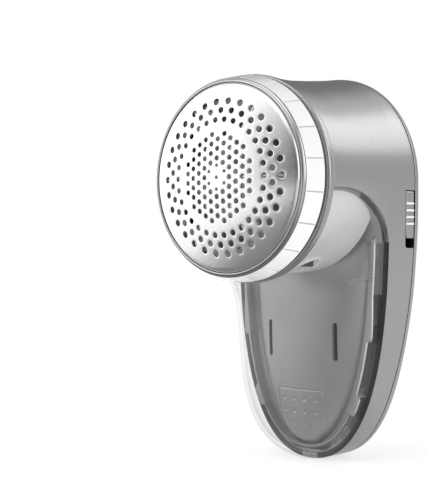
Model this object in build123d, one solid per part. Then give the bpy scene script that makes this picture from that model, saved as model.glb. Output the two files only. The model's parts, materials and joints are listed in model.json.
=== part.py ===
"""Hand-held fabric shaver with a twist-off foil head and a clear lint box.

Everything is drawn about the head axis: X across, Y from the foil towards the back,
Z up, with Y = 0 at the foil's centre.  save() then moves each piece so that the
part's origin is the bottom centre of the whole shaver.
"""
import math
import os

from build123d import *

# ---------------------------------------------------------------- driving dimensions (mm)
AXIS_HEIGHT = 101.9        # head axis above the lowest point of the handle
HALF_DEPTH = 37.15         # foil centre to the middle of the overall depth
TOP_RISE = 39.4            # head axis to the top of the body at the seam
HALF_WIDTH = 34.9          # half width of the handle beside the head
DROP = AXIS_HEIGHT         # head axis to the handle's bottom
WALL = 2.0                 # housing wall
BOX_WALL = 1.6             # lint box wall
FRONT_Y = 18.2             # front edge of the housing, behind the chamber flange
PARTING_Y = 51.4           # plane where the lint box meets the handle
COVER_DEPTH = 6.3          # seam to the flat back
GAP = 0.3                  # gap between pieces that move apart

FOIL_DOME_R = 118.0        # spherical radius of the foil
FOIL_R = 32.3              # foil radius
FOIL_T = 0.35              # foil thickness
BLADE_GAP = 0.35           # blade edge to the foil's inside
ROTOR_R = 27.5             # blade disc radius
SHAFT_R = 1.0              # motor shaft radius
MOTOR_R = 12.0             # motor can radius
NOTCHES = 20               # notches round the grip ring
BLADES = 6

SWITCH_TRAVEL = 3.2        # slide switch travel, downwards
SWITCH_TOP_Z = -3.7
SWITCH_BOTTOM_Z = -20.6

CELL_R = 7.0               # 14500 cell
CELL_LENGTH = 50.0

os.makedirs("parts", exist_ok=True)


# ---------------------------------------------------------------- helpers
def save(name, *shapes):
    """Write one sub-part, moved from the head frame to the part's frame."""
    solids = []
    for shape in shapes:
        solids += list(shape.solids())
    body = solids[0] if len(solids) == 1 else Compound(children=solids)
    placed = Pos(0, -HALF_DEPTH, AXIS_HEIGHT) * body
    placed.label = name
    export_step(placed, f"parts/{name}.step")
    print(name, len(solids), round(sum(s.volume for s in solids), 1))


def upright(y):
    """Plane across the head axis at depth y, seen from the front."""
    return Plane(origin=(0, y, 0), x_dir=(1, 0, 0), z_dir=(0, -1, 0))


def turned(points):
    """Solid of revolution about the head axis from (radius, depth) points."""
    return revolve(make_face(Polyline(*points, close=True)), axis=Axis.Y)


def rod(radius, y0, y1, x=0.0, z=0.0):
    """Cylinder along the head axis direction."""
    return extrude(upright(y1) * Pos(x, z) * Circle(radius), amount=y1 - y0)


def post(radius, z0, z1, x=0.0, y=0.0):
    """Upright cylinder."""
    return extrude(Plane.XY.offset(z0) * Pos(x, y) * Circle(radius), amount=z1 - z0)


def block(x0, x1, y0, y1, z0, z1):
    """Box from its limits."""
    middle = Pos((x0 + x1) / 2, (y0 + y1) / 2, (z0 + z1) / 2)
    return middle * Box(x1 - x0, y1 - y0, z1 - z0)


def mirrored(shape):
    """The same shape on the other side of the middle plane."""
    return mirror(shape, about=Plane.YZ)


def interpolate(table, value):
    """Straight-line value from a table of (key, value), highest key first."""
    for (k0, v0), (k1, v1) in zip(table, table[1:]):
        if k0 >= value >= k1:
            return v0 + (v1 - v0) * (k0 - value) / (k0 - k1)
    return table[0][1] if value > table[0][0] else table[-1][1]


# ---------------------------------------------------------------- outside shape
TONGUE = ((HALF_WIDTH, 0.0), (HALF_WIDTH, -34.5), (35.7, -DROP), (0.0, -DROP))


def tongue_points(inset):
    """Control points of the handle's right-hand outline, moved in by inset."""
    return [(max(x - inset, 0.0), max(z, -DROP + inset)) for x, z in TONGUE]


def half_width(z):
    """Half width of the handle at height z, z being zero or negative."""
    low, high = 0.0, 1.0
    for _ in range(50):
        t = (low + high) / 2
        s = 1 - t
        drop = 3 * s * s * t * TONGUE[1][1] + 3 * s * t * t * TONGUE[2][1] + t ** 3 * TONGUE[3][1]
        if drop > z:
            low = t
        else:
            high = t
    t = (low + high) / 2
    s = 1 - t
    return s ** 3 * TONGUE[0][0] + 3 * s * s * t * TONGUE[1][0] + 3 * s * t * t * TONGUE[2][0]


def section(y, half, top, inset=0.0):
    """Full body outline at depth y: half ellipse above, handle tongue below."""
    shift = half - HALF_WIDTH
    pts = tongue_points(inset)
    right = [(pts[0][0] + shift, 0.0), (pts[1][0] + shift, pts[1][1]), pts[2], pts[3]]
    left = [(-x, z) for x, z in reversed(right)]
    dome = EllipticalCenterArc((0, 0), half - inset, top - inset, 0, arc_size=180)
    outline = make_face([dome, Bezier(*reversed(left)), Bezier(*reversed(right))])
    return upright(y) * outline


def tongue_prism(inset, y0, y1):
    """The handle's outline below the axis, moved in by inset, between two depths."""
    pts = tongue_points(inset)
    left = [(-x, z) for x, z in pts]
    face = make_face([Bezier(*pts), Bezier(*left), Line(left[0], pts[0])])
    return extrude(upright(y1) * face, amount=y1 - y0)


def ring_section(y, half, top, inset=0.0):
    """Barrel outline at depth y: half ellipse above, half circle below."""
    dome = EllipticalCenterArc((0, 0), half - inset, top - inset, 0, arc_size=180)
    bowl = CenterArc((0, 0), half - inset, 180, 180)
    return upright(y) * make_face([dome, bowl])


# Seam between housing and back cover in side view: upright beside the head, then stepping
# forward down the handle.  The flat back runs parallel to it.
SEAM_Y = 68.0
SEAM_BEND = ((SEAM_Y, -2.0), (67.65, -20.0), (66.6, -40.0), (64.95, -60.0), (64.3, -75.0))
SEAM_FOOT = (64.0, -115.0)


def behind(shift, far=95.0):
    """Everything behind the seam surface moved back by shift."""
    bend_points = [(y + shift, z) for y, z in SEAM_BEND]
    foot = (SEAM_FOOT[0] + shift, SEAM_FOOT[1])
    end = Vector(foot[0] - bend_points[-1][0], foot[1] - bend_points[-1][1]).normalized()
    bend = Spline(*bend_points, tangents=((0, -1), (end.X, end.Y)))
    upper = Line((SEAM_Y + shift, 60.0), bend_points[0])
    lower = Line(bend_points[-1], foot)
    rest = Polyline(foot, (far, foot[1]), (far, 60.0), (SEAM_Y + shift, 60.0))
    edges = [upper, bend, lower, *rest.edges()]
    return extrude(Plane.YZ.offset(-60) * make_face(edges), amount=120)


def body_solid(inset, back_round):
    """Solid of the closed body; inset moves every wall in."""
    barrel = loft([
        ring_section(FRONT_Y, 35.95, 35.95, inset),
        ring_section(30.0, 35.7, 35.75, inset),
        ring_section(42.0, 35.4, 36.5, inset),
        ring_section(PARTING_Y + inset, 35.2, 37.4, inset),
    ])
    rear = loft([
        section(PARTING_Y + inset, 35.2, 37.4, inset),
        section(60.0, 35.0, 38.4, inset),
        section(68.0, 34.9, TOP_RISE, inset),
        section(80.0, 34.7, TOP_RISE, inset),
    ])
    rear = rear - behind(COVER_DEPTH - inset)
    backs = rear.faces().filter_by(lambda f: f.center().Y > 69.0)
    rim = [e for f in backs for e in f.edges() if e.center().X ** 2 > 0.01
           or e.center().Z > 30 or e.center().Z < -90]
    rear = fillet(rim, back_round)
    return barrel + rear


# Under-cut that the lint box fills: below an elliptical arc and in front of the parting plane.
ARC_Y, ARC_Z, ARC_RY, ARC_RZ = 24.5, -22.0, 26.9, 18.4


def box_zone(gap, front=0.0):
    """The space under the arc, with its arc and back edge moved out by gap."""
    arc = EllipticalCenterArc((ARC_Y, ARC_Z), ARC_RY + gap, ARC_RZ + gap, 0, arc_size=90)
    top = ARC_Z + ARC_RZ + gap
    line = Polyline((ARC_Y, top), (front, top), (front, -115.0), (ARC_Y + ARC_RY + gap, -115.0),
                    (ARC_Y + ARC_RY + gap, ARC_Z))
    return extrude(Plane.YZ.offset(-60) * make_face([arc, *line.edges()]), amount=120)


def bulge(width_at, front_at, back_y, heights):
    """Upright form whose level sections are half ellipses, open towards the back plane."""
    slices = []
    for z in heights:
        arc = EllipticalCenterArc((0, back_y), width_at(z), back_y - front_at(z),
                                  180, arc_size=180)
        chord = Line(arc @ 1, arc @ 0)
        slices.append(Pos(0, 0, z) * make_face([arc, chord]))
    return loft(slices)


BOX_FRONT = ((0.0, 19.0), (-28.0, 20.0), (-33.0, 22.5), (-38.0, 27.4), (-42.0, 30.8), (-46.0, 32.6),
             (-52.0, 33.3), (-60.0, 32.8), (-67.0, 31.9), (-75.0, 31.0), (-82.0, 31.2),
             (-89.5, 33.2), (-95.0, 37.0), (-99.1, 42.5), (-101.75, 48.5))
BOX_HEIGHTS = (0.0, -12.0, -22.0, -30.0, -36.0, -42.0, -48.0, -56.0, -65.0, -74.0, -82.0,
               -88.0, -93.5, -97.6, -100.2, -101.55)


def box_form(wall):
    """Outside (wall = 0) or inside of the lint box, still without its cut edges."""
    stretch = (DROP - wall) / DROP

    def width(z):
        return max(half_width(z / stretch) - wall, 1.2)

    def front(z):
        return min(interpolate(BOX_FRONT, z / stretch) + wall, PARTING_Y - 1.5)

    chin = bulge(width, front, PARTING_Y + 1.0, [z * stretch for z in BOX_HEIGHTS])
    sleeve = loft([
        ring_section(FRONT_Y - 2 * wall, 35.95, 35.95, wall),
        ring_section(30.0, 35.7, 35.75, wall),
        ring_section(42.0, 35.4, 36.5, wall),
        ring_section(PARTING_Y + 1.0, 35.2, 37.4, wall),
    ])
    return chin + sleeve


# ---------------------------------------------------------------- housing and back cover
outside = body_solid(0.0, 6.0)
inside = body_solid(WALL, 4.2)
shell = outside - inside - block(-60, 60, -10, FRONT_Y, -120, 60)
shell = shell - rod(33.95, 10.0, PARTING_Y - 3, 0, 0)
front_way = extrude(section(PARTING_Y + WALL, 35.2, 37.4, WALL), amount=WALL + 1.5)
shell = shell - box_zone(0.0) - front_way

SCREWS = ((0.0, 31.6), (-23.0, -46.0), (23.0, -46.0))
BOSS_END = 62.0            # front half of each screw boss ends here

notch = block(30.0, 40.0, 61.75, 90.0, SWITCH_BOTTOM_Z - SWITCH_TRAVEL - GAP,
              SWITCH_TOP_Z + GAP)
main_housing = shell - behind(-0.05) - notch
top_boss = rod(3.2, 54.0, BOSS_END, *SCREWS[0]) + block(-1.0, 1.0, 54.0, BOSS_END, 32.0, 37.0)
top_boss = (top_boss & inside) - rod(1.05, 50.0, 70.0, *SCREWS[0])
main_housing = main_housing + top_boss

back_cover = shell & behind(0.05)
for sx, sz in SCREWS:
    pillar = rod(3.6, BOSS_END + 0.05, 90.0, sx, sz) & outside
    back_cover = back_cover + pillar
for sx, sz in SCREWS:
    back_cover = back_cover - rod(1.5, 50.0, 90.0, sx, sz) - rod(2.9, 68.6, 90.0, sx, sz)

USB_Y = 59.2               # middle of the charging socket
socket_hole = extrude(Plane.XY.offset(-105) * Pos(0, USB_Y)
                      * RectangleRounded(9.2, 3.5, 1.6), amount=9.0)
main_housing = main_housing - socket_hole

save("main_housing", main_housing)
save("back_cover", back_cover)

screws = []
for sx, sz in SCREWS:
    screw = rod(2.5, 68.65, 70.2, sx, sz) + rod(1.05, 56.0, 68.65, sx, sz)
    screws.append(screw - block(sx - 1.6, sx + 1.6, 69.5, 71, sz - 0.3, sz + 0.3)
                  - block(sx - 0.3, sx + 0.3, 69.5, 71, sz - 1.6, sz + 1.6))
save("cover_screws", *screws)

# ---------------------------------------------------------------- blade chamber
MOUTH_R = 31.4
chamber = turned([
    (MOUTH_R, 15.4), (35.9, 15.4), (36.27, 15.8), (36.27, 17.9), (33.3, 17.9), (33.0, 47.4),
    (31.4, 47.5), (12.3, 47.5), (12.3, 24.0), (3.5, 24.0), (3.5, 22.0), (14.3, 22.0),
    (14.3, 45.4), (30.6, 45.4), (31.0, 44.6), (MOUTH_R, 21.4),
])
GROOVE = turned([(31.0, 16.1), (32.4, 16.1), (32.4, 18.1), (31.0, 18.1)])
chamber = chamber - GROOVE
LUG_HALF = 10.0            # half angle of a bayonet lug
TWIST = 30.0               # head twist from locked to free


def sector(r0, r1, y0, y1, middle, half_angle):
    """Piece of a ring between two radii and depths, about an angle from +X towards +Z."""
    ring = rod(r1, y0, y1) - rod(r0, y0 - 1, y1 + 1)
    reach = r1 * 2
    left = math.radians(middle - half_angle)
    right = math.radians(middle + half_angle)
    wedge = make_face(Polyline((0, 0), (reach * math.cos(left), reach * math.sin(left)),
                               (reach * math.cos(right), reach * math.sin(right)), close=True))
    return ring & extrude(upright(y1 + 1) * wedge, amount=y1 - y0 + 2)


for k in range(3):
    # The head is turned towards +X seen from the front to bring each lug to its entry slot.
    chamber = chamber - sector(31.0, 32.4, 15.0, 16.4, 90 + 120 * k + TWIST, LUG_HALF + 2.5)

DUCT_Y = 31.5
duct = extrude(Plane.XY.offset(-42) * Pos(0, DUCT_Y) * SlotOverall(36, 9.5), amount=20)
lip = extrude(Plane.XY.offset(-42) * Pos(0, DUCT_Y) * SlotOverall(38.6, 12.1), amount=20)
bowl_out = turned([(0, 17.9), (33.25, 17.9), (32.95, 45.6), (0, 45.6)])
bowl_lip = turned([(0, 17.9), (33.8, 17.9), (33.5, 45.6), (0, 45.6)])
chamber = (chamber + ((lip & bowl_lip) - bowl_out)) - duct
for mx in (-8.0, 8.0):
    chamber = chamber - rod(1.1, 20.0, 30.0, mx, 0)
save("blade_chamber", chamber)

# ---------------------------------------------------------------- inner panel of the handle
PANEL_FRONT = ((-20.0, 49.0), (-30.0, 46.4), (-40.0, 45.0), (-50.0, 44.8), (-86.5, 44.8),
               (-91.0, 45.6), (-94.0, 47.0), (-96.1, 49.0))
PANEL_HEIGHTS = (-14.0, -22.0, -30.0, -40.0, -52.0, -64.0, -76.0, -85.0, -90.0, -93.4, -95.7)


def panel_form(inset):
    """Crowned middle of the panel, moved in by inset."""
    def width(z):
        return max(half_width(z * 1.028) - 7.6 - inset, 2.0)

    def front(z):
        return min(interpolate(PANEL_FRONT, z) + inset, 51.6)

    return bulge(width, front, 53.4, PANEL_HEIGHTS)


plate = tongue_prism(WALL + 0.15, 51.6, 53.4)
roof = (box_zone(1.8) - box_zone(0.15)) & block(-60, 60, FRONT_Y + 0.1, 53.4, -30.0, 0.0)
roof = roof & loft([ring_section(18.0, 33.8, 33.8), ring_section(53.4, 33.1, 35.2)])
plate = (plate & box_zone(2.1)) + roof
panel = plate + panel_form(0.0) - panel_form(1.8)
panel = panel - block(-60, 60, 53.4, 60, -120, 60)


def rim_band(outer, inner, *spans):
    """Stretches of the raised rim between two insets, as (low, high) heights."""
    band = tongue_prism(outer, 48.6, 52.0) - tongue_prism(inner, 48.0, 53.0)
    kept = [block(-60, 60, 48, 53, low, high) for low, high in spans]
    return band & (kept[0] + kept[1:])


RIM_STEP_HIGH, RIM_STEP_LOW = -58.6, -81.7
STEP = 1.2
rim = rim_band(3.9, 5.1, (RIM_STEP_HIGH - STEP, -24.0), (-120.0, RIM_STEP_LOW + STEP))
rim = rim + rim_band(5.3, 6.5, (RIM_STEP_LOW, RIM_STEP_HIGH))
rim = rim + rim_band(3.9, 6.5, (RIM_STEP_HIGH - STEP, RIM_STEP_HIGH),
                     (RIM_STEP_LOW, RIM_STEP_LOW + STEP))
panel = panel + rim
panel = panel - rod(34.4, 15.0, 47.8) - rod(MOTOR_R + 0.8, 45.0, 60.0)
SLOT_X, SLOT_TOP, SLOT_LOW = 14.9, -51.0, -64.7
for side in (-1, 1):
    slot = extrude(upright(60) * Pos(side * SLOT_X, (SLOT_TOP + SLOT_LOW) / 2)
                   * SlotOverall(SLOT_TOP - SLOT_LOW, 1.3, rotation=90), amount=20)
    panel = panel - slot
pad = upright(60) * Pos(0, -87.9) * (RectangleRounded(21.0, 24.0, 1.2)
                                     - RectangleRounded(20.2, 23.2, 0.9))
pad_line = extrude(pad, amount=20) & block(-20, 20, 40, 60, -95.0, -70.0)
dots = []
for px in (-7.05, -2.35, 2.35, 7.05):
    for pz in (-79.4, -84.0, -88.6, -93.0):
        dots.append(rod(0.6, 40.0, 60.0, px, pz))
skin = panel_form(-0.5) - panel_form(0.35)
panel = panel - (pad_line & skin)
panel = panel - [d & skin for d in dots]
for sx, sz in SCREWS[1:]:
    boss = rod(3.2, 53.0, BOSS_END, sx, sz) - rod(1.05, 50.0, 70.0, sx, sz)
    panel = panel - rod(1.05, 52.5, 70.0, sx, sz) + boss
save("inner_panel", panel)

# ---------------------------------------------------------------- clear lint box
box_outer = box_form(0.0)
box_inner = box_form(BOX_WALL)
lint_box = box_outer - box_inner
lint_box = lint_box & box_zone(-GAP, FRONT_Y + 0.1)
lint_box = lint_box - block(-60, 60, -10, FRONT_Y + 0.1, -120, 60)
lint_box = max(lint_box.solids(), key=lambda s: s.volume)
save("lint_box", lint_box)

# ---------------------------------------------------------------- foil head
ball = Pos(0, FOIL_DOME_R, 0) * Sphere(FOIL_DOME_R)
ball_in = Pos(0, FOIL_DOME_R, 0) * Sphere(FOIL_DOME_R - FOIL_T)
foil = (ball & rod(FOIL_R, -1.0, 6.0)) - ball_in
foil = foil + (rod(FOIL_R, 4.3, 9.2) - rod(FOIL_R - FOIL_T, 4.0, 10.0))
foil = foil - (rod(FOIL_R + 1, 0.0, 4.6) & (Pos(0, FOIL_DOME_R, 0) * Sphere(FOIL_DOME_R + 8)
                                            - ball))
holes = []
for radius, hole_r, phase in ((26.0, 1.2, 0.0), (22.88, 1.1, 6.0), (19.69, 1.0, 0.0)):
    for k in range(30):
        angle = math.radians(phase + 12 * k)
        holes.append((radius * math.cos(angle), radius * math.sin(angle), hole_r))
PITCH = 3.256
for ring in range(2, 6):
    for corner in range(6):
        a0 = math.radians(90 + 60 * corner)
        a1 = math.radians(150 + 60 * corner)
        for step in range(ring):
            if ring == 5 and step == 0:
                continue
            f = step / ring
            hx = ring * PITCH * ((1 - f) * math.cos(a0) + f * math.cos(a1))
            hz = ring * PITCH * ((1 - f) * math.sin(a0) + f * math.sin(a1))
            holes.append((hx, hz, 0.9))
for corner in range(6):
    angle = math.radians(90 + 60 * corner)
    holes.append((1.24 * PITCH * math.cos(angle), 1.24 * PITCH * math.sin(angle), 0.6))
holes.append((0.0, 0.0, 0.6))
foil = foil - [rod(r, -1.0, 5.5, x, z) for x, z, r in holes]
save("foil", foil)
print("foil holes", len(holes))

collar = turned([(32.4, 4.75), (32.9, 4.65), (34.05, 5.45), (33.3, 6.6), (33.3, 9.2), (32.4, 9.2)])
save("foil_collar", collar)

ring = turned([
    (34.15, 5.65), (35.7, 13.0), (35.8, 13.3), (35.8, 14.3), (31.1, 14.3), (31.1, 18.0),
    (29.6, 18.0), (29.6, 9.3), (33.4, 9.3), (33.4, 6.7),
])
for k in range(NOTCHES):
    cut = block(34.3, 40.0, 6.3, 12.7, -0.25, 0.25)
    ring = ring - (Rot(0, -(9 + 360 / NOTCHES * k), 0) * Pos(0, 0, 0) * cut - turned(
        [(0, 5.0), (33.78, 5.0), (35.5, 13.4), (0, 13.4)]))
for k in range(3):
    ring = ring + sector(30.9, 32.1, 16.4, 17.8, 90 + 120 * k, LUG_HALF)
save("grip_ring", ring)

# ---------------------------------------------------------------- rotor
hexagon = extrude(upright(9.9) * RegularPolygon(3.0, 6), amount=4.6)
driver = rod(4.4, 9.9, 21.4) + hexagon - rod(SHAFT_R, 8.0, 22.0)
save("blade_driver", driver)

disc = rod(ROTOR_R, 6.4, 7.8) + rod(6.2, 4.6, 9.8)
for k in range(BLADES):
    window = sector(15.0, 24.6, 5.0, 9.0, 30 + 60 * k, 19.0)
    window = fillet(window.edges().filter_by(Axis.Y), 1.8)
    disc = disc - window
    rib = Rot(0, -60 * k, 0) * block(5.0, 24.5, 4.9, 6.6, 0.3, 1.7)
    disc = disc + rib
disc = disc - extrude(upright(10.0) * RegularPolygon(3.05, 6), amount=6)
save("blade_disc", disc)

edge_ball = Pos(0, FOIL_DOME_R, 0) * Sphere(FOIL_DOME_R - FOIL_T - BLADE_GAP)
for k in range(BLADES):
    blade = block(6.3, 27.2, 0.0, 6.4, -0.3, 0.3) & edge_ball
    save(f"blade_{k + 1}", Rot(0, -60 * k, 0) * blade)

cap = rod(4.0, 3.2, 4.55) & edge_ball
save("rotor_cap", cap)
save("drive_shaft", rod(SHAFT_R, 8.6, 57.0))

# ---------------------------------------------------------------- motor
can = rod(MOTOR_R, 24.1, 51.0) - rod(MOTOR_R - 0.9, 25.1, 52.0)
can = can + rod(3.2, 22.2, 24.2) - rod(SHAFT_R + 0.05, 20.0, 30.0)
for mx in (-8.0, 8.0):
    can = can - rod(0.8, 20.0, 30.0, mx, 0)
save("motor_can", can)
magnet = sector(9.0, 11.05, 28.0, 46.0, 0, 62)
save("motor_magnets", magnet, mirrored(magnet))
core = rod(8.4, 30.0, 44.0) - rod(SHAFT_R, 20.0, 60.0)
for k in range(3):
    gap_cut = Rot(0, -(30 + 120 * k), 0) * block(4.2, 9.0, 29.0, 45.0, -1.2, 1.2)
    core = core - gap_cut
save("motor_armature", core)
save("motor_commutator", rod(2.6, 46.2, 50.4) - rod(SHAFT_R, 40.0, 60.0))
end_cap = rod(MOTOR_R, 51.0, 53.2) + rod(MOTOR_R - 0.95, 49.6, 51.0)
end_cap = end_cap + rod(3.4, 53.2, 56.2) - rod(SHAFT_R + 0.05, 40.0, 60.0)
end_cap = end_cap - rod(6.5, 49.0, 51.4)
save("motor_end_cap", end_cap)
terminal = block(7.2, 9.8, 53.2, 56.6, -0.3, 0.3)
save("motor_terminals", terminal, mirrored(terminal))
motor_screws = []
for mx in (-8.0, 8.0):
    motor_screws.append(rod(1.9, 20.6, 22.0, mx, 0) + rod(0.8, 22.0, 26.5, mx, 0))
save("motor_screws", *motor_screws)

# ---------------------------------------------------------------- slide switch
thumb_blank = outside & block(32.6, 40.0, 62.05, 67.4, SWITCH_BOTTOM_Z, SWITCH_TOP_Z)
thumb = thumb_blank
for rz in (-8.1, -10.55, -13.0, -15.45):
    ridge = block(33.0, 35.3, 62.05, 67.4, rz - 0.4, rz + 0.4)
    thumb = thumb + ridge
thumb = thumb + block(29.8, 32.7, 63.4, 66.4, -14.4, -9.8)
save("switch_thumb", thumb)
actuator = block(27.2, 29.7, 64.0, 65.8, -13.4, -10.8)
save("switch_actuator", actuator)
switch_body = block(20.2, 27.0, 62.0, 67.2, -19.4, -8.0)
switch_body = switch_body - block(24.6, 28.0, 63.7, 66.1, -13.7 - SWITCH_TRAVEL, -10.5)
switch_body = switch_body & inside
save("power_switch", switch_body)

# ---------------------------------------------------------------- board, cell and socket
board = block(8.0, 24.6, 60.2, 61.8, -78.0, -4.0)
board = board & inside
board = board - rod(4.6, 55.0, 70.0, *SCREWS[2])
save("circuit_board", board)
chip = block(11.0, 16.0, 58.9, 60.2, -44.0, -39.0)
inductor = block(11.0, 15.0, 57.6, 60.2, -58.0, -54.0)
save("board_chips", chip, inductor)

CELL_X, CELL_Y, CELL_LOW = -8.5, 59.0, -82.0
cell = post(CELL_R, CELL_LOW, CELL_LOW + CELL_LENGTH, CELL_X, CELL_Y)
cell = cell + post(2.6, CELL_LOW + CELL_LENGTH, CELL_LOW + CELL_LENGTH + 0.8, CELL_X, CELL_Y)
save("battery_cell", cell)
low = CELL_LOW - 0.5
high = CELL_LOW + CELL_LENGTH + 1.2
tray = block(CELL_X - 8.4, CELL_X + 8.4, 53.45, 61.0, low - 1.6, high + 1.6)
tray = tray - post(CELL_R + 0.15, low, high, CELL_X, CELL_Y)
tray = tray - block(CELL_X - CELL_R - 0.15, CELL_X + CELL_R + 0.15, CELL_Y, 62, low, high)
save("battery_cradle", tray)
plus_tab = block(CELL_X - 3, CELL_X + 3, 56.5, 62.5, high - 0.4, high - 0.1)
minus_tab = block(CELL_X - 3, CELL_X + 3, 56.5, 62.5, low + 0.1, low + 0.4)
save("battery_tabs", plus_tab, minus_tab)

shell_outer = extrude(Plane.XY.offset(-101.5) * Pos(0, USB_Y) * SlotOverall(8.94, 3.26), amount=7.4)
shell_inner = extrude(Plane.XY.offset(-102.1) * Pos(0, USB_Y) * SlotOverall(8.34, 2.66), amount=7.0)
save("charging_socket", shell_outer - shell_inner)
save("socket_tongue", block(-3.4, 3.4, USB_Y - 0.35, USB_Y + 0.35, -100.7, -95.2))
charge_board = block(-7.0, 7.0, USB_Y + 1.65, USB_Y + 3.05, -97.9, -86.7)
save("charge_board", charge_board)


def lead(radius, *points):
    """Insulated wire through the points."""
    path = Spline(*points)
    start = Plane(origin=path @ 0, z_dir=path % 0)
    return sweep(start * Circle(radius), path=path)


save("motor_leads",
     lead(0.55, (8.5, 57.2, 0.0), (10.0, 59.5, 1.0), (11.5, 62.9, -1.0), (12.5, 63.1, -5.5),
          (13.0, 62.5, -8.0)),
     lead(0.55, (-8.5, 57.2, 0.0), (-9.5, 60.0, -4.0), (-3.0, 63.0, -14.0), (9.5, 62.5, -20.0)))
save("battery_leads",
     lead(0.55, (-6.0, 63.2, high - 0.3), (-1.0, 64.6, high + 2.5), (6.0, 64.5, high + 2.0),
          (10.0, 62.5, high)),
     lead(0.55, (-6.0, 62.8, low - 0.5), (-5.6, 66.4, low - 0.1), (0.5, 66.2, low + 2.0),
          (6.0, 64.2, low + 5.0), (10.0, 62.5, low + 9.0)))
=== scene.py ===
"""Looks for the fabric shaver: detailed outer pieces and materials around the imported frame."""
import json
import math

import bmesh
import bpy
import numpy as np
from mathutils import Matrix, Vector
from mathutils.geometry import delaunay_2d_cdt

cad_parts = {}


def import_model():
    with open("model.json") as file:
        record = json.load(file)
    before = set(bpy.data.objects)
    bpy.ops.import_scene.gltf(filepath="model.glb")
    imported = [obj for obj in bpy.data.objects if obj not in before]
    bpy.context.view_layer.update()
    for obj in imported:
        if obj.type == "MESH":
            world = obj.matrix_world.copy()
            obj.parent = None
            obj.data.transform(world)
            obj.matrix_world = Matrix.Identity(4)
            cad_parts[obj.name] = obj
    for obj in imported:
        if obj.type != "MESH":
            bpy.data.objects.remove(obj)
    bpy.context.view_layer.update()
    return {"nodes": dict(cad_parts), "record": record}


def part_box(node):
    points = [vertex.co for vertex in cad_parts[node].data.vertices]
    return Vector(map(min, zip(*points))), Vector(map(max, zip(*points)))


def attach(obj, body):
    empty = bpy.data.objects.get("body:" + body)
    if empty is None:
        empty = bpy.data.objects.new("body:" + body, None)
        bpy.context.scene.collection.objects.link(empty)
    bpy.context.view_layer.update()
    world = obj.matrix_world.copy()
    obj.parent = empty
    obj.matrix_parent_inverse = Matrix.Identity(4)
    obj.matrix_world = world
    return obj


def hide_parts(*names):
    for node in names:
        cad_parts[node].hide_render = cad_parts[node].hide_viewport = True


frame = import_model()
NODES = frame["nodes"]


# Head frame: millimetres from the foil's centre, X across, Y towards the back, Z up.
foil_low, foil_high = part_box("foil")
FRONT = foil_low.y
AXIS_Z = (foil_low.z + foil_high.z) / 2
DROP = AXIS_Z * 1000.0
WALL = 2.0  # thickness of the shells


def world(points):
    """Head-frame millimetres to the row frame in metres."""
    out = np.asarray(points, float) / 1000.0
    out[:, 1] += FRONT
    out[:, 2] += AXIS_Z
    return out


def head_mm(spot):
    """A point of the row frame in metres to head-frame millimetres."""
    return spot.x * 1000, (spot.y - FRONT) * 1000, (spot.z - AXIS_Z) * 1000


# ---- mesh helpers
def build(name, points, faces):
    """A smooth mesh object from head-frame points in millimetres."""
    mesh = bpy.data.meshes.new(name)
    mesh.from_pydata([tuple(p) for p in world(points)], [], [tuple(f) for f in faces])
    mesh.validate()
    mesh.update()
    obj = bpy.data.objects.new(name, mesh)
    bpy.context.scene.collection.objects.link(obj)
    mesh.polygons.foreach_set("use_smooth", [True] * len(mesh.polygons))
    return obj


def join(name, *parts):
    """One object out of several (points, faces) pairs."""
    points, faces = [], []
    for pts, fcs in parts:
        base = len(points)
        points += [tuple(p) for p in pts]
        faces += [tuple(i + base for i in f) for f in fcs]
    return build(name, points, faces)


def skin(rows, wrap=False):
    """(points, faces) of a grid given as rows of points; wrap closes each row on itself."""
    cols = len(rows[0])
    faces = []
    for i in range(len(rows) - 1):
        for j in range(cols if wrap else cols - 1):
            k = (j + 1) % cols
            faces.append((i * cols + j, i * cols + k, (i + 1) * cols + k, (i + 1) * cols + j))
    return [p for row in rows for p in row], faces


def loop_faces(turns, n):
    """Quads that join closed loops of n points, the last loop back to the first."""
    faces = []
    for i in range(turns):
        for j in range(n):
            k, l = (i + 1) % turns, (j + 1) % n
            faces.append((i * n + j, i * n + l, k * n + l, k * n + j))
    return faces


def use(obj, *modifiers):
    """Apply modifiers, given as (type, settings), one after another."""
    bpy.context.view_layer.objects.active = obj
    for kind, settings in modifiers:
        mod = obj.modifiers.new(kind, kind)
        for key, value in settings.items():
            setattr(mod, key, value)
        with bpy.context.temp_override(object=obj, active_object=obj):
            bpy.ops.object.modifier_apply(modifier=mod.name)


def edit(obj, change):
    """Run change(bm) on the object's mesh."""
    bm = bmesh.new()
    bm.from_mesh(obj.data)
    change(bm)
    bm.to_mesh(obj.data)
    bm.free()


def shade(obj, angle=35.0):
    """Smooth faces with sharp edges above an angle."""
    def mark(bm):
        limit = math.radians(angle)
        for e in bm.edges:
            e.smooth = len(e.link_faces) != 2 or e.calc_face_angle(0.0) < limit

    obj.data.polygons.foreach_set("use_smooth", [True] * len(obj.data.polygons))
    edit(obj, mark)


def outward(obj):
    """Make the normals of a closed mesh point out, and weld doubles."""
    def weld(bm):
        bmesh.ops.remove_doubles(bm, verts=bm.verts, dist=1e-6)
        bmesh.ops.recalc_face_normals(bm, faces=bm.faces)

    edit(obj, weld)
    return obj


def turn_faces(obj, wrong):
    """Flip each face of an open mesh whose normal is wrong(normal)."""
    def turn(bm):
        for f in bm.faces:
            if wrong(f.normal):
                f.normal_flip()

    edit(obj, turn)


def solid(name, points, faces, angle=35.0):
    """A closed mesh, facing outwards and shaded."""
    obj = outward(build(name, points, faces))
    shade(obj, angle)
    return obj


def cut_away(obj, *tools):
    """Exact boolean difference; the tools are then removed."""
    for tool in tools:
        use(obj, ("BOOLEAN", {"operation": "DIFFERENCE", "solver": "EXACT", "object": tool}))
        bpy.data.objects.remove(tool)


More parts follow.
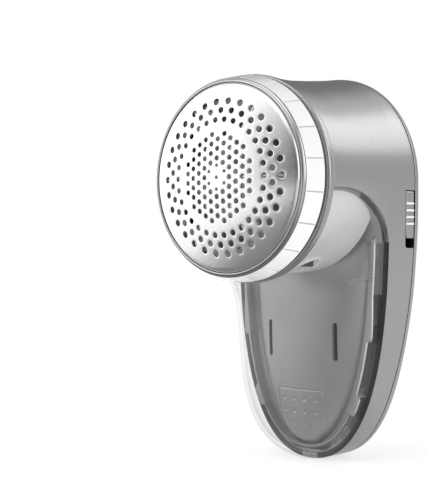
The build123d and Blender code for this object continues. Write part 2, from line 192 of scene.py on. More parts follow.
def bevel(width, segments=2, angle=40.0):
    """Bevel settings in millimetres."""
    return ("BEVEL", {"width": width / 1000.0, "segments": segments, "limit_method": "ANGLE",
                      "angle_limit": math.radians(angle), "harden_normals": False})


def solidify(thickness):
    """Solidify settings in millimetres, inwards from the surface."""
    return ("SOLIDIFY", {"thickness": thickness / 1000.0, "offset": -1.0,
                         "use_even_offset": True})


def prism(name, outline, along, low, high):
    """Closed prism: a 2-D outline extruded along X (outline in Y, Z) or Y (X, Z) or Z (X, Y)."""
    order = {"X": lambda a, b, t: (t, a, b), "Y": lambda a, b, t: (a, t, b),
             "Z": lambda a, b, t: (a, b, t)}[along]
    n = len(outline)
    points = [order(a, b, low) for a, b in outline] + [order(a, b, high) for a, b in outline]
    faces = [tuple(range(n)), tuple(range(2 * n - 1, n - 1, -1))]
    faces += [(i, (i + 1) % n, n + (i + 1) % n, n + i) for i in range(n)]
    return outward(build(name, points, faces))


def stadium(cx, cy, length, width, steps=24):
    """Outline of a slot with round ends, long way along the first axis."""
    r = width / 2
    half = length / 2 - r
    out = []
    for side, start in ((1, -90), (-1, 90)):
        for k in range(steps + 1):
            a = math.radians(start + 180 * k / steps)
            out.append((cx + side * half + r * math.cos(a), cy + r * math.sin(a)))
    return out


def turned(profile, count):
    """Closed loop of (radius, depth) points turned about the head axis in even steps."""
    points = []
    for a in full_circle(count):
        c, s = math.cos(a), math.sin(a)
        points += [(r * c, y, r * s) for r, y in profile]
    return points, loop_faces(count, len(profile))


def full_circle(count):
    """Evenly spaced angles."""
    return [2 * math.pi * k / count for k in range(count)]


def rounded(profile, radius, steps=4):
    """Closed profile with its corners rounded; radius is one number or one per corner."""
    out = []
    n = len(profile)
    for i, p in enumerate(profile):
        r = radius[i] if isinstance(radius, (list, tuple)) else radius
        p = np.array(p, float)
        a = np.array(profile[i - 1], float) - p
        b = np.array(profile[(i + 1) % n], float) - p
        la, lb = np.linalg.norm(a), np.linalg.norm(b)
        r = min(r, la * 0.45, lb * 0.45)
        if r <= 1e-6:
            out.append(tuple(p))
            continue
        start, end = p + a / la * r, p + b / lb * r
        for k in range(steps + 1):
            t = k / steps
            out.append(tuple((1 - t) ** 2 * start + 2 * t * (1 - t) * p + t * t * end))
    return out


def ease(x):
    """Smooth step from 0 to 1."""
    x = min(max(x, 0.0), 1.0)
    return x * x * (3 - 2 * x)


def look_up(table, x):
    """Straight lines through a table of (x, value)."""
    return float(np.interp(x, [p[0] for p in table], [p[1] for p in table]))


# ---- body shape
HALF = 34.9  # half width of the handle at the axis height
SLEEVE_FRONT = 18.2  # front end of the barrel
BLEND_START = 26.0  # from here to the parting plane barrel becomes handle
PARTING = 51.4  # depth where the lint box meets the housing
COVER_DEPTH = 6.3  # back cover behind its seam
COVER_ROUND = 6.0  # radius of its edge
SEAM_GAP = 0.25  # half the open seam
TONGUE = ((HALF, 0.0), (HALF, -34.5), (35.7, -DROP), (0.0, -DROP))
HALF_AT = ((SLEEVE_FRONT, 35.95), (30.0, 35.7), (42.0, 35.4), (51.4, 35.2), (60.0, 35.0),
           (68.0, 34.9), (80.0, 34.7))
TOP_AT = ((SLEEVE_FRONT, 35.95), (30.0, 35.75), (42.0, 36.5), (51.4, 37.4), (60.0, 38.4),
          (68.0, 39.4), (80.0, 39.4))
SEAM_AT = ((-115.0, 64.0), (-90.0, 64.2), (-75.0, 64.3), (-60.0, 64.95), (-40.0, 66.6),
           (-20.0, 67.65), (-2.0, 68.0), (20.0, 68.0), (60.0, 68.0))
SEAM_LEAD = ((-97.0, 1.65), (-93.0, 1.05), (-78.0, 0.95), (-66.0, 0.35), (-58.0, 0.0))
ARC_Y, ARC_Z, ARC_RY, ARC_RZ = 24.5, -22.0, 26.9, 18.4


def smooth_table(table, x):
    """Monotone cubic through a table of (x, value)."""
    xs = [p[0] for p in table]
    ys = [p[1] for p in table]
    if x <= xs[0]:
        return ys[0]
    if x >= xs[-1]:
        return ys[-1]
    n = len(xs)
    d = [(ys[i + 1] - ys[i]) / (xs[i + 1] - xs[i]) for i in range(n - 1)]
    m = [d[0]] + [0.0 if d[i - 1] * d[i] <= 0 else 2 * d[i - 1] * d[i] / (d[i - 1] + d[i])
                  for i in range(1, n - 1)] + [d[-1]]
    i = max(k for k in range(n - 1) if xs[k] <= x)
    h = xs[i + 1] - xs[i]
    t = (x - xs[i]) / h
    return ((1 + 2 * t) * (1 - t) ** 2 * ys[i] + t * (1 - t) ** 2 * h * m[i]
            + t * t * (3 - 2 * t) * ys[i + 1] + t * t * (t - 1) * h * m[i + 1])


def tongue(t, inset=0.0, shift=0.0):
    """Point (x, z) on the right-hand handle outline, t from 0 at the axis height to 1 below."""
    pts = [(max(x - inset, 0.0), max(z, -DROP + inset)) for x, z in TONGUE]
    pts[0] = (pts[0][0] + shift, pts[0][1])
    pts[1] = (pts[1][0] + shift, pts[1][1])
    s = 1 - t
    w = (s ** 3, 3 * s * s * t, 3 * s * t * t, t ** 3)
    return (sum(a * p[0] for a, p in zip(w, pts)), sum(a * p[1] for a, p in zip(w, pts)))


TONGUE_Z = np.array([tongue(k / 2000)[1] for k in range(2001)])
TONGUE_X = np.array([tongue(k / 2000)[0] for k in range(2001)])


def half_width(z):
    """Half width of the handle at height z below the axis."""
    return float(np.interp(-z, -TONGUE_Z, TONGUE_X))


def seam_y(z):
    """Depth of the seam between housing and back cover."""
    return smooth_table(SEAM_AT, z)


def parting_line(z):
    """Depth of the visible seam line, a little in front of the cover's datum low down."""
    return seam_y(z) - look_up(SEAM_LEAD, z)


def arc_z(y):
    """Height of the lint box's upper edge at depth y."""
    f = min(max((y - ARC_Y) / ARC_RY, 0.0), 1.0)
    return ARC_Z + ARC_RZ * math.sqrt(1 - f * f)


def side_x(y, z):
    """Half width of the body at depth y in front of the parting plane, for z below the axis."""
    a = smooth_table(HALF_AT, y)
    circle = math.sqrt(max(a * a - z * z, 0.0))
    w = ease((y - BLEND_START) / (PARTING - BLEND_START))
    return circle * (1 - w) + max(half_width(z) + (a - HALF) * ease(1 + z / 20), circle) * w


def outline_t(z):
    """Outline parameter t at height z."""
    return float(np.interp(-z, -TONGUE_Z, np.linspace(0, 1, 2001)))


ARC_T = outline_t(ARC_Z)
UPPER = 72  # points over the dome
SIDE = 26  # points from the axis height down to the arc's end
LOWER = 70  # points from there to the bottom


def housing_section(y, full):
    """Right-to-left outline at depth y: from the arc's lower end, over the top, and back."""
    a = smooth_table(HALF_AT, y)
    h = smooth_table(TOP_AT, y)
    if full:
        side = [tongue(ARC_T * k / SIDE, 0.0, a - HALF) for k in range(SIDE + 1)]
    else:
        side = [(side_x(y, arc_z(y) * k / SIDE), arc_z(y) * k / SIDE) for k in range(SIDE + 1)]
    turns = [math.pi * k / UPPER for k in range(1, UPPER)]
    dome = [(a * math.cos(b), h * math.sin(b)) for b in turns]
    return side[::-1] + dome + [(-x, z) for x, z in side]


def full_section(y):
    """Upper outline of the handle and dome at or behind the parting plane."""
    return housing_section(y, True)


def lower_section(y):
    """Handle outline from the arc's end on the right, round the bottom, to the left."""
    shift = smooth_table(HALF_AT, y) - HALF
    right = [tongue(ARC_T + (1 - ARC_T) * k / LOWER, 0.0, shift) for k in range(LOWER + 1)]
    return right + [(-x, z) for x, z in right[-2::-1]]


SECTION_CACHE = {}


def section_point(make, y, j):
    """Point j of a section at depth y, with sections kept to a fine step."""
    key = (make, round(y, 2))
    if key not in SECTION_CACHE:
        SECTION_CACHE[key] = make(round(y, 2))
    return SECTION_CACHE[key][j]


def housing_mesh():
    """Outer skin of the main housing: the barrel, then both parts behind the parting plane."""
    depths = [SLEEVE_FRONT + (PARTING - SLEEVE_FRONT) * (k / 44) for k in range(45)]
    rows = [[(x, y, z) for x, z in housing_section(y, y >= PARTING - 1e-6)] for y in depths]
    parts = [skin(rows)]
    for make in (full_section, lower_section):
        base = make(PARTING)
        rows = []
        for step in range(19):
            row = []
            for j, (_, z0) in enumerate(base):
                y = PARTING + (parting_line(z0) - SEAM_GAP - PARTING) * (step / 18)
                x, z = section_point(make, y, j)
                row.append((x, y, z))
            rows.append(row)
        parts.append(skin(rows))
    return parts


def full_outline(y):
    """Closed outline of the handle and dome at depth y, without the doubled end points."""
    return full_section(y) + lower_section(y)[-2:0:-1]


def unit(vectors):
    """Rows of an array brought to length one."""
    return vectors / np.maximum(np.linalg.norm(vectors, axis=1), 1e-6)[:, None]


def cover_mesh():
    """Outer skin of the back cover: a rounded rim and a flat back."""
    xz = np.array(full_outline(68.0), float)
    n = len(xz)
    tangent = unit(np.roll(xz, -1, axis=0) - np.roll(xz, 1, axis=0))
    normal = np.stack([tangent[:, 1], -tangent[:, 0]], 1)
    if np.mean(np.sum(normal * (xz - xz.mean(0)), axis=1)) < 0:
        normal = -normal
    straight = COVER_DEPTH - COVER_ROUND
    rows = [[(x, parting_line(z) + SEAM_GAP, z) for x, z in xz]]
    depths = [(straight + 0.2, 0.0)]
    depths += [(straight + COVER_ROUND * math.sin(b), COVER_ROUND * (1 - math.cos(b)))
               for b in map(math.radians, range(6, 91, 6))]
    for dy, inset in depths:
        rows.append([(x, min(seam_y(z), seam_y(z0) + 0.3) + dy, z)
                     for (x, z), z0 in zip(xz - normal * inset, xz[:, 1])])
    rim = xz - normal * COVER_ROUND
    spine = np.stack([np.zeros(n), np.clip(rim[:, 1], -66.0, 8.0)], 1)
    for f in (0.06, 0.14, 0.26, 0.4, 0.55, 0.7, 0.85, 1.0):
        rows.append([(x, seam_y(z) + COVER_DEPTH, z) for x, z in rim * (1 - f) + spine * f])
    return skin(rows, wrap=True)


# ---- materials
def add_node(tree, kind, inputs, **settings):
    """New shader node; inputs maps an input's name or number to a value or to a socket."""
    made = tree.nodes.new("ShaderNode" + kind)
    for key, value in settings.items():
        setattr(made, key, value)
    for key, value in inputs.items():
        if isinstance(value, bpy.types.NodeSocket):
            tree.links.new(value, made.inputs[key])
        else:
            made.inputs[key].default_value = value
    return made


def map_range(tree, value, start, stop, low, high, **settings):
    """Socket that runs from low to high while value runs from start to stop."""
    inputs = {"From Min": start, "From Max": stop, "To Min": low, "To Max": high,
              "Value": value}
    return add_node(tree, "MapRange", inputs, **settings).outputs["Result"]


def calculate(tree, operation, a, b):
    """Socket with the result of a Math node."""
    return add_node(tree, "Math", {0: a, 1: b}, operation=operation).outputs[0]


def noise(tree, vector, scale, detail):
    """Socket of a noise texture's value."""
    inputs = {"Scale": scale, "Detail": detail, "Vector": vector}
    return add_node(tree, "TexNoise", inputs).outputs["Fac"]


def axis_sockets(tree):
    """X, Y and Z sockets of the position in the object's own frame, in metres."""
    spot = add_node(tree, "TexCoord", {})
    return add_node(tree, "SeparateXYZ", {"Vector": spot.outputs["Object"]}).outputs


NOISE_LOW, NOISE_HIGH = 0.3, 0.7  # the part of a noise's range that is used


def material(name, color, metallic, roughness, spread, scale, bump=0.0, coat=0.0,
             coat_rough=0.03, stretch=(1.0, 1.0, 1.0), rough_spread=None):
    """Principled material with fine procedural variation of colour, roughness and surface."""
    mat = bpy.data.materials.new(name)
    mat.use_nodes = True
    tree = mat.node_tree
    shader = tree.nodes["Principled BSDF"]
    for key, value in (("Base Color", (*color, 1.0)), ("Metallic", metallic),
                       ("Roughness", roughness), ("Coat Weight", coat),
                       ("Coat Roughness", coat_rough)):
        shader.inputs[key].default_value = value
    spot = add_node(tree, "TexCoord", {})
    inputs = {"Scale": stretch, "Vector": spot.outputs["Object"]}
    vector = add_node(tree, "Mapping", inputs).outputs["Vector"]
    grain = map_range(tree, noise(tree, vector, scale, 6.0), NOISE_LOW, NOISE_HIGH, 0.0, 1.0)
    inputs = {"A": (*[max(c * (1 - spread), 0.0) for c in color], 1.0),
              "B": (*[min(c * (1 + spread), 1.0) for c in color], 1.0), "Factor": grain}
    mix = add_node(tree, "Mix", inputs, data_type="RGBA")
    tree.links.new(mix.outputs["Result"], shader.inputs["Base Color"])
    if rough_spread is None:
        rough_spread = min(0.02, roughness * 0.1)
    if rough_spread:
        wide = map_range(tree, noise(tree, vector, scale * 0.07, 3.0), NOISE_LOW, NOISE_HIGH,
                         roughness - rough_spread, roughness + rough_spread)
        tree.links.new(wide, shader.inputs["Roughness"])
    if bump:
        inputs = {"Strength": bump, "Distance": 0.0001,
                  "Height": noise(tree, vector, scale, 4.0)}
        node = add_node(tree, "Bump", inputs)
        tree.links.new(node.outputs["Normal"], shader.inputs["Normal"])
    return mat


# Slot: name, colour, metallic, roughness, colour spread, grain per metre, bump, then where it
# differs from the defaults coat, coat roughness and stretch.
LOOKS = {
    "housing_grey": ("silver_lacquer", (0.42, 0.42, 0.425), 0.85, 0.27, 0.015, 500.0, 0.0, 0.3,
        0.1),
    "panel_grey": ("panel_lacquer", (0.36, 0.36, 0.363), 0.55, 0.34, 0.015, 500.0, 0.0, 0.2, 0.2),
    # Painted shade on the ledge beside the panel rim, the darker of two levels.
    "panel_edge": ("panel_edge_dark", (0.085, 0.085, 0.087), 0.3, 0.35, 0.1, 300.0, 0.0, 0.3),
    # Painted shade on the ledge beside the panel rim, the lighter of two levels.
    "ledge_mid": ("ledge_mid_grey", (0.20, 0.20, 0.202), 0.4, 0.35, 0.08, 300.0, 0.0, 0.3),
    # Painted highlight: light line along the edge of the panel's rim.
    "rim_line": ("rim_line_light", (0.75, 0.75, 0.755), 0.5, 0.25, 0.02, 500.0, 0.0),
    # Painted shade: near-black faces put into seams, gaps and grooves where shade falls.
    "gap_dark": ("gap_dark", (0.012, 0.012, 0.0125), 0.0, 0.5, 0.1, 500.0, 0.0),
    "chamber_grey": ("silver_satin", (0.80, 0.80, 0.805), 0.25, 0.34, 0.015, 500.0, 0.0, 0.3, 0.2),
    "foil_steel": ("foil_steel", (0.88, 0.88, 0.885), 1.0, 0.2, 0.01, 500.0, 0.0),
    "collar_metal": ("collar_metal", (0.55, 0.55, 0.555), 1.0, 0.22, 0.02, 500.0, 0.0),
    # Painted shade in the grip ring's notches.
    "ring_line": ("ring_line_grey", (0.48, 0.48, 0.482), 0.2, 0.35, 0.03, 500.0, 0.0),
    "ring_white": ("pearl_white", (0.90, 0.90, 0.90), 0.0, 0.2, 0.01, 500.0, 0.0, 0.8, 0.05),
    # Painted shade on the grip ring's back edge, in the gap by the flange.
    "ring_edge": ("ring_edge_grey", (0.03, 0.03, 0.031), 0.1, 0.45, 0.03, 900.0, 0.03),
    "inner_plastic": ("natural_plastic", (0.7, 0.7, 0.67), 0.0, 0.45, 0.04, 700.0, 0.1),
    "disc_plastic": ("disc_plastic", (0.72, 0.72, 0.72), 0.0, 0.42, 0.03, 700.0, 0.1),
    "blade_steel": ("ground_steel", (0.66, 0.66, 0.67), 1.0, 0.25, 0.08, 1500.0, 0.15, 0.0, 0.03,
        (1.0, 8.0, 1.0)),
    "screw_steel": ("zinc_steel", (0.5, 0.5, 0.51), 1.0, 0.32, 0.08, 1500.0, 0.12),
    "motor_steel": ("plated_steel", (0.55, 0.55, 0.56), 1.0, 0.3, 0.06, 900.0, 0.08),
    "magnet_dark": ("ferrite", (0.05, 0.05, 0.052), 0.1, 0.6, 0.2, 900.0, 0.2),
    "armature_steel": ("laminations", (0.22, 0.2, 0.19), 0.9, 0.45, 0.2, 1200.0, 0.2, 0.0, 0.03,
        (1.0, 20.0, 1.0)),
    "contact_brass": ("brass", (0.62, 0.45, 0.18), 1.0, 0.28, 0.08, 900.0, 0.08),
    "dark_plastic": ("black_plastic", (0.025, 0.025, 0.027), 0.0, 0.42, 0.2, 900.0, 0.1),
    "board_green": ("solder_mask", (0.015, 0.11, 0.045), 0.0, 0.35, 0.2, 500.0, 0.08, 0.4),
    "cell_wrap": ("cell_wrap", (0.03, 0.13, 0.36), 0.0, 0.3, 0.06, 300.0, 0.05, 0.4),
    "tab_nickel": ("nickel", (0.6, 0.58, 0.54), 1.0, 0.3, 0.06, 900.0, 0.1),
    "lead_red": ("red_insulation", (0.45, 0.02, 0.015), 0.0, 0.4, 0.06, 600.0, 0.05),
    "lead_black": ("black_insulation", (0.02, 0.02, 0.02), 0.0, 0.4, 0.1, 600.0, 0.05),
}
MATS = {slot: material(*look) for slot, look in LOOKS.items()}


FADE_START, FADE_END = 0.0478, 0.0505  # metres behind the foil's front, near the housing


def clear_plastic():
    """Clear polished plastic: faint face on, denser seen edge on, faint near the housing."""
    mat = material("clear_plastic", (0.42, 0.42, 0.422), 0.0, 0.04, 0.01, 300.0,
                   rough_spread=0.01)
    tree = mat.node_tree
    shader = tree.nodes["Principled BSDF"]
    shader.inputs["IOR"].default_value = 2.2
    facing = add_node(tree, "LayerWeight", {"Blend": 0.25}).outputs["Facing"]
    dense = map_range(tree, facing, 0.1, 1.0, 0.05, 0.34)
    fade = map_range(tree, axis_sockets(tree)["Y"], FRONT + FADE_START, FRONT + FADE_END, 1.0,
                     0.25)
    tree.links.new(calculate(tree, "MULTIPLY", dense, fade), shader.inputs["Alpha"])
    return mat


MATS["clear_plastic"] = clear_plastic()


def finish_piece(obj, slot, body, *nodes, pick=None, more=("gap_dark",), base=None):
    """Paint with the slot's material or base, ride on the body and stand for CAD nodes.

    Where pick(x, y, z, normal) names one of the further slots in more, that one is used.
    """
    slots = (base or slot, *more) if pick else (slot,)
    for name in slots:
        obj.data.materials.append(MATS[name])
    if pick:
        for poly in obj.data.polygons:
            name = pick(*head_mm(poly.center), poly.normal)
            poly.material_index = slots.index(name or slots[0])
    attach(obj, body)
    if nodes:
        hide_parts(*nodes)


for entry in frame["record"]["subparts"]:
    carried = NODES[entry["node"]]
    carried.data.materials.clear()
    carried.data.materials.append(MATS[entry["material_slot"]])
    shade(carried, 28.0)

# ---- housing and back cover
NOTCH_LOW, NOTCH_HIGH = -24.1, -3.4  # opening for the slide switch
NOTCH_FRONT, NOTCH_CORNER = 61.75, 1.4
INLET_Y = 59.2
SCREWS = ((0.0, 31.6), (-23.0, -46.0), (23.0, -46.0))


def housing_paint(x, y, z, normal):
    """Painted shade: dark faces inside the step by the lint box and in the seam."""
    at_step = PARTING - 0.3 < y < PARTING + 2.5 and z < ARC_Z
    if at_step and half_width(z) - abs(x) > 0.4 and abs(x) > 3.0:
        return "gap_dark"
    return "gap_dark" if normal.y > 0.9 and y > parting_line(z) - 0.6 else None


def cover_paint(x, y, z, normal):
    """Painted shade: dark faces in the seam."""
    return "gap_dark" if normal.y < -0.9 and y < parting_line(z) + 0.7 else None


housing = outward(join("housing_shell", *housing_mesh()))
use(housing, solidify(WALL), bevel(0.22, 3, 50.0))
notch = [(80.0, NOTCH_LOW), (80.0, NOTCH_HIGH), (NOTCH_FRONT, NOTCH_HIGH)]
notch += [(NOTCH_FRONT + NOTCH_CORNER * (1 + math.cos(a)),
           NOTCH_LOW + NOTCH_CORNER + NOTCH_CORNER * math.sin(a))
          for a in map(math.radians, range(180, 271, 10))]
cut_away(housing, prism("notch_tool", notch, "X", 31.0, 40.0),
         prism("inlet_tool", stadium(0.0, INLET_Y, 9.2, 3.5), "Z", -105.0, -96.0))
shade(housing)
finish_piece(housing, "housing_grey", "housing", "main_housing", pick=housing_paint)

cover = outward(build("cover_shell", *cover_mesh()))
use(cover, solidify(WALL), bevel(0.22, 3, 50.0))
for sx, sz in SCREWS:
    ring = [(sx + 2.9 * math.cos(a), sz + 2.9 * math.sin(a)) for a in full_circle(48)]
    cut_away(cover, prism("screw_tool", ring, "Y", 66.0, 80.0))
shade(cover)
finish_piece(cover, "housing_grey", "housing", "back_cover", pick=cover_paint)
for i, (sx, sz) in enumerate(SCREWS):
    rim_y = seam_y(sz) + COVER_DEPTH - 0.2
    well = rounded([(2.95, rim_y), (2.95, 68.45), (1.45, 68.45), (1.45, 62.2), (3.6, 62.2),
                    (3.6, rim_y)], 0.12, 2)
    pts, fcs = turned(well, 48)
    well_piece = solid(f"screw_well_{i + 1}", [(x + sx, y, z + sz) for x, y, z in pts], fcs)
    finish_piece(well_piece, "housing_grey", "housing")

# ---- blade chamber
DUCT_Y, DUCT_LONG, DUCT_DEEP = 31.5, 36.0, 9.5
BOWL_R, BOWL_FRONT = 33.3, 17.9  # the bowl behind the flange, narrowing a little
BOWL_END = 47.3
CHAMBER = [
    (31.4, 15.4), (35.9, 15.4), (36.27, 15.8), (36.27, BOWL_FRONT), (BOWL_R, BOWL_FRONT),
    (33.0, BOWL_END), (31.4, 47.4), (12.3, 47.4), (12.3, 24.0), (3.5, 24.0), (3.5, 22.0),
    (14.3, 22.0), (14.3, 45.4), (30.6, 45.4), (31.0, 44.6), (31.4, 21.4),
]


def bowl_radius(y):
    """Outside radius of the chamber's bowl."""
    return BOWL_R - (y - BOWL_FRONT) * 0.3 / 27.7


def flange_paint(x, y, z, normal):
    """The flange has the housing's colour."""
    return "housing_grey" if math.hypot(x, z) > 33.8 else None


def duct_lip():
    """Raised rim round the lint duct, following the bowl."""
    rows = []
    for wider, lift in ((0.0, -1.6), (0.0, 0.3), (0.3, 0.5), (0.95, 0.5), (1.25, 0.3),
                        (1.3, -0.3)):
        row = []
        for x, y in stadium(0.0, DUCT_Y, DUCT_LONG + 2 * wider, DUCT_DEEP + 2 * wider, 30):
            r = bowl_radius(y) + lift
            row.append((x, y, -math.sqrt(max(r * r - x * x, 0.0))))
        rows.append(row)
    return skin(rows, wrap=True)


chamber = outward(build("chamber_cup", *turned(rounded(CHAMBER, 0.35, 3), 240)))
cut_away(chamber, prism("duct_tool", stadium(0.0, DUCT_Y, DUCT_LONG, DUCT_DEEP), "Z",
                        -42.0, -22.0))
shade(chamber)
finish_piece(chamber, "chamber_grey", "housing", "blade_chamber", pick=flange_paint,
             more=("housing_grey",))
finish_piece(solid("duct_lip", *duct_lip(), 50.0), "chamber_grey", "housing")

# ---- inner panel
PANEL_FRONT = ((-96.4, 50.6), (-94.2, 47.6), (-91.0, 45.7), (-86.5, 44.9), (-50.0, 44.8),
               (-40.0, 45.0), (-30.0, 46.4), (-20.0, 49.0), (-10.0, 51.0))
BASE_Y = 51.6  # ledge round the crowned middle
RIM_Y = 48.6  # front of the rim on the ledge


def crown_y(x, z):
    """Front of the panel's crowned middle."""
    width = max(half_width(z * 1.028) - 7.6, 0.5) if z * 1.028 > -DROP + 0.5 else 0.5
    front = smooth_table(PANEL_FRONT, z)
    f = abs(x) / width
    if f >= 1:
        return BASE_Y
    y = 53.4 - (53.4 - front) * math.sqrt(1 - f * f)
    return min(y, BASE_Y)


SLOT_X, SLOT_TOP, SLOT_LOW, SLOT_WIDE = 14.9, -51.0, -64.7, 1.9
PAD_HALF, PAD_TOP, PAD_CORNER = 10.3, -75.9, 1.2
DOT_X = (-7.05, -2.35, 2.35, 7.05)
DOT_Z = (-79.4, -84.0, -88.6, -93.0)


def pad_mark(x, z):
    """Depth of the pad's engraved outline and dots."""
    mark = 0.0
    if z < PAD_TOP + 0.4:
        beside, above = abs(x) - PAD_HALF, z - PAD_TOP
        d = max(beside, above)
        if beside > -PAD_CORNER and above > -PAD_CORNER:
            d = math.hypot(beside + PAD_CORNER, above + PAD_CORNER) - PAD_CORNER
        mark = 0.28 * math.exp(-(d / 0.16) ** 2)
    for px in DOT_X:
        for pz in DOT_Z:
            d = math.hypot(x - px, z - pz)
            mark = max(mark, 0.30 * (1 - ease((d - 0.45) / 0.3)))
    return mark


def panel_crown():
    """Height field of the crowned middle, on an even grid."""
    xs = np.arange(-30.0, 30.01, 0.2)
    zs = np.arange(-98.5, -8.0, 0.25)
    index, points, faces = {}, [], []
    for i, z in enumerate(zs):
        for j, x in enumerate(xs):
            if abs(x) > max(half_width(z) - 5.3, 0):
                continue
            y = crown_y(x, z)
            if z < -74 and abs(x) < 12:
                y += pad_mark(x, z)
            index[i, j] = len(points)
            points.append((x, y, z))
    for i in range(len(zs) - 1):
        for j in range(len(xs) - 1):
            quad = [(i, j), (i, j + 1), (i + 1, j + 1), (i + 1, j)]
            if all(q in index for q in quad):
                faces.append(tuple(index[q] for q in quad))
    return points, faces


RIM_NEAR = ((-110.0, 4.5), (-83.6, 4.5), (-82.7, 2.45), (-76.7, 2.45), (-75.8, 4.5), (-57.3, 4.4),
            (-56.4, 2.75), (-54.5, 2.7), (-42.0, 3.9), (0.0, 3.9))
RIM_FAR = ((-110.0, 5.3), (-57.3, 5.2), (-56.4, 5.6), (0.0, 5.5))


def rim_edges(z):
    """Insets of the rim's two edges from the outline at height z."""
    return look_up(RIM_NEAR, z), look_up(RIM_FAR, z)


def rim_profile(z):
    """Section of the panel's border as (inset, depth), from the wall towards the middle."""
    near, far = rim_edges(z)
    return [(2.2, 53.2), (2.2, BASE_Y), (near, BASE_Y), (near, RIM_Y + 0.35),
            (near + 0.35, RIM_Y), (far - 0.18, RIM_Y), (far, RIM_Y + 0.25), (far, BASE_Y),
            (8.2, BASE_Y + 0.02)]


def panel_border():
    """The ledge with its raised rim, following the handle's outline."""
    t_top = outline_t(-17.0)
    steps = 420
    line = [t_top + (1 - t_top) * k / steps for k in range(steps + 1)]
    rows = []
    for side, t in [(1, t) for t in line] + [(-1, t) for t in line[-2::-1]]:
        row = []
        for inset, y in rim_profile(tongue(t, 4.5)[1]):
            x, z = tongue(t, inset)
            if z > -22.0 and y < BASE_Y:
                y = BASE_Y - (BASE_Y - y) * ease((-z - 17.5) / 4.5)
            row.append((side * x, y, z))
        rows.append(row)
    return skin(rows)


def arc_wall():
    """Wall that closes the housing along the lint box's upper edge, behind the bowl."""
    parts = []
    for side in (1, -1):
        rows = []
        for k in range(65):
            b = math.radians(90 - 90 * k / 64)
            y = ARC_Y + (ARC_RY + 0.2) * math.cos(b)
            z = ARC_Z + (ARC_RZ + 0.2) * math.sin(b)
            outer = side_x(min(y, PARTING), z) - 2.05
            inner = 14.0
            if y < BOWL_END:
                inner = math.sqrt(max((bowl_radius(y) + 0.1) ** 2 - z * z, 0.0))
            inner = min(inner, outer - 0.1)
            rows.append([(side * (inner + (outer - inner) * j / 6), y, z) for j in range(7)])
        rows.insert(0, [(x, SLEEVE_FRONT + 0.1, z) for x, _, z in rows[0]])
        parts.append(skin(rows))
    return parts


def panel_paint(x, y, z, normal):
    """Painted highlight on the rim line, painted shade in two levels on the ledge beside it and
    painted shade in the gap at the wall.
    """
    x = abs(x)
    if x < 1.0:
        return None
    if z > ARC_Z - 0.5:
        in_gap = y < 52.5 and side_x(min(y, PARTING), z) - x < 2.4 and z < -6.0
        return "gap_dark" if in_gap else None
    reach = half_width(z) - x
    near, _ = rim_edges(z)
    if y > 49.2 and reach < 3.0:
        return "gap_dark"
    if y > 49.2 and reach < near + 0.05:
        # The lighter painted shade high up and where the rim stands far in, the darker one
        # elsewhere.
        light_band = z > -40.5 or (near > 4.0 and reach > 3.9)
        return "ledge_mid" if light_band else "panel_edge"
    on_line = RIM_Y < y < RIM_Y + 0.4 and near - 0.1 < reach < near + 0.4
    return "rim_line" if on_line else None


panel = join("panel_skin", panel_crown(), panel_border(), *arc_wall())
use(panel, solidify(1.2))
slot_outline = stadium((SLOT_TOP + SLOT_LOW) / 2, 0.0, SLOT_TOP - SLOT_LOW, SLOT_WIDE)
for side in (-1, 1):
    outline = [(side * SLOT_X + b, a) for a, b in slot_outline]
    cut_away(panel, prism("slot_tool", outline, "Y", 40.0, 60.0))
shade(panel, 40.0)
finish_piece(panel, "housing_grey", "housing", "inner_panel", pick=panel_paint,
             more=("panel_edge", "rim_line", "gap_dark", "ledge_mid"), base="panel_grey")

# ---- clear lint box
BOX_FRONT = ((-101.75, 48.5), (-99.1, 42.5), (-95.0, 37.0), (-89.5, 33.2), (-82.0, 31.2),
             (-75.0, 31.0), (-67.0, 31.9), (-60.0, 32.8), (-52.0, 33.3), (-46.0, 32.6),
             (-42.0, 30.8), (-38.0, 27.4), (-33.0, 22.5), (-28.0, 20.0), (0.0, 19.0))
BOX_WALL = 1.6
BACK_PLANE = 52.4


def table_array(table, values):
    """smooth_table over an array, through a fine look-up."""
    lo, hi = float(values.min()), float(values.max())
    xs = np.linspace(lo, hi, 1500)
    return np.interp(values, xs, [smooth_table(table, x) for x in xs])


def soft_step(v):
    """Array form of ease."""
    v = np.clip(v, 0.0, 1.0)
    return v * v * (3 - 2 * v)


def box_field(x, y, z):
    """Positive inside the lint box's outer form: barrel sleeve blended with the handle part."""
    a = table_array(HALF_AT, y)
    circle = np.sqrt(np.maximum(a * a - z * z, 1e-6))
    tongue_x = np.interp(-z, -TONGUE_Z, TONGUE_X)
    w = soft_step((y - BLEND_START) / (PARTING - BLEND_START))
    handle = tongue_x + (a - HALF) * soft_step(1 + z / 20)
    wide = circle * (1 - w) + np.maximum(handle, circle) * w
    fade = soft_step((z + 36.0) / 11.0)
    wide = circle + (wide - circle) * fade
    flat = x * circle / wide
    sleeve = (a * a - flat * flat - z * z) / (2 * a)
    width = np.maximum(tongue_x, 0.5)
    deep = BACK_PLANE - np.minimum(table_array(BOX_FRONT, z), BACK_PLANE - 1.5)
    u, v = x / width, (BACK_PLANE - y) / deep
    q = u * u + v * v
    slope = np.sqrt((2 * u / width) ** 2 + (2 * v / deep) ** 2) + 0.012
    front = (1 - q) / slope
    front = np.minimum(front, (z + DROP - 0.1))
    k = 3.2 * (1 - soft_step((y - 42.0) / 8.0)) + 0.05
    h = np.maximum(k - np.abs(sleeve - front), 0.0) / k
    return np.maximum(sleeve, front) + h * h * k / 4


def gradient(field, points):
    """Values and gradients of a field at many points."""
    e = 0.05
    value = field(*points.T)
    slopes = [(field(*(points + np.eye(3)[n] * e).T) - value) / e for n in range(3)]
    return value, np.stack(slopes, 1)


def sides(face):
    """Pairs of neighbouring corners round a face."""
    return zip(face, face[1:] + face[:1])


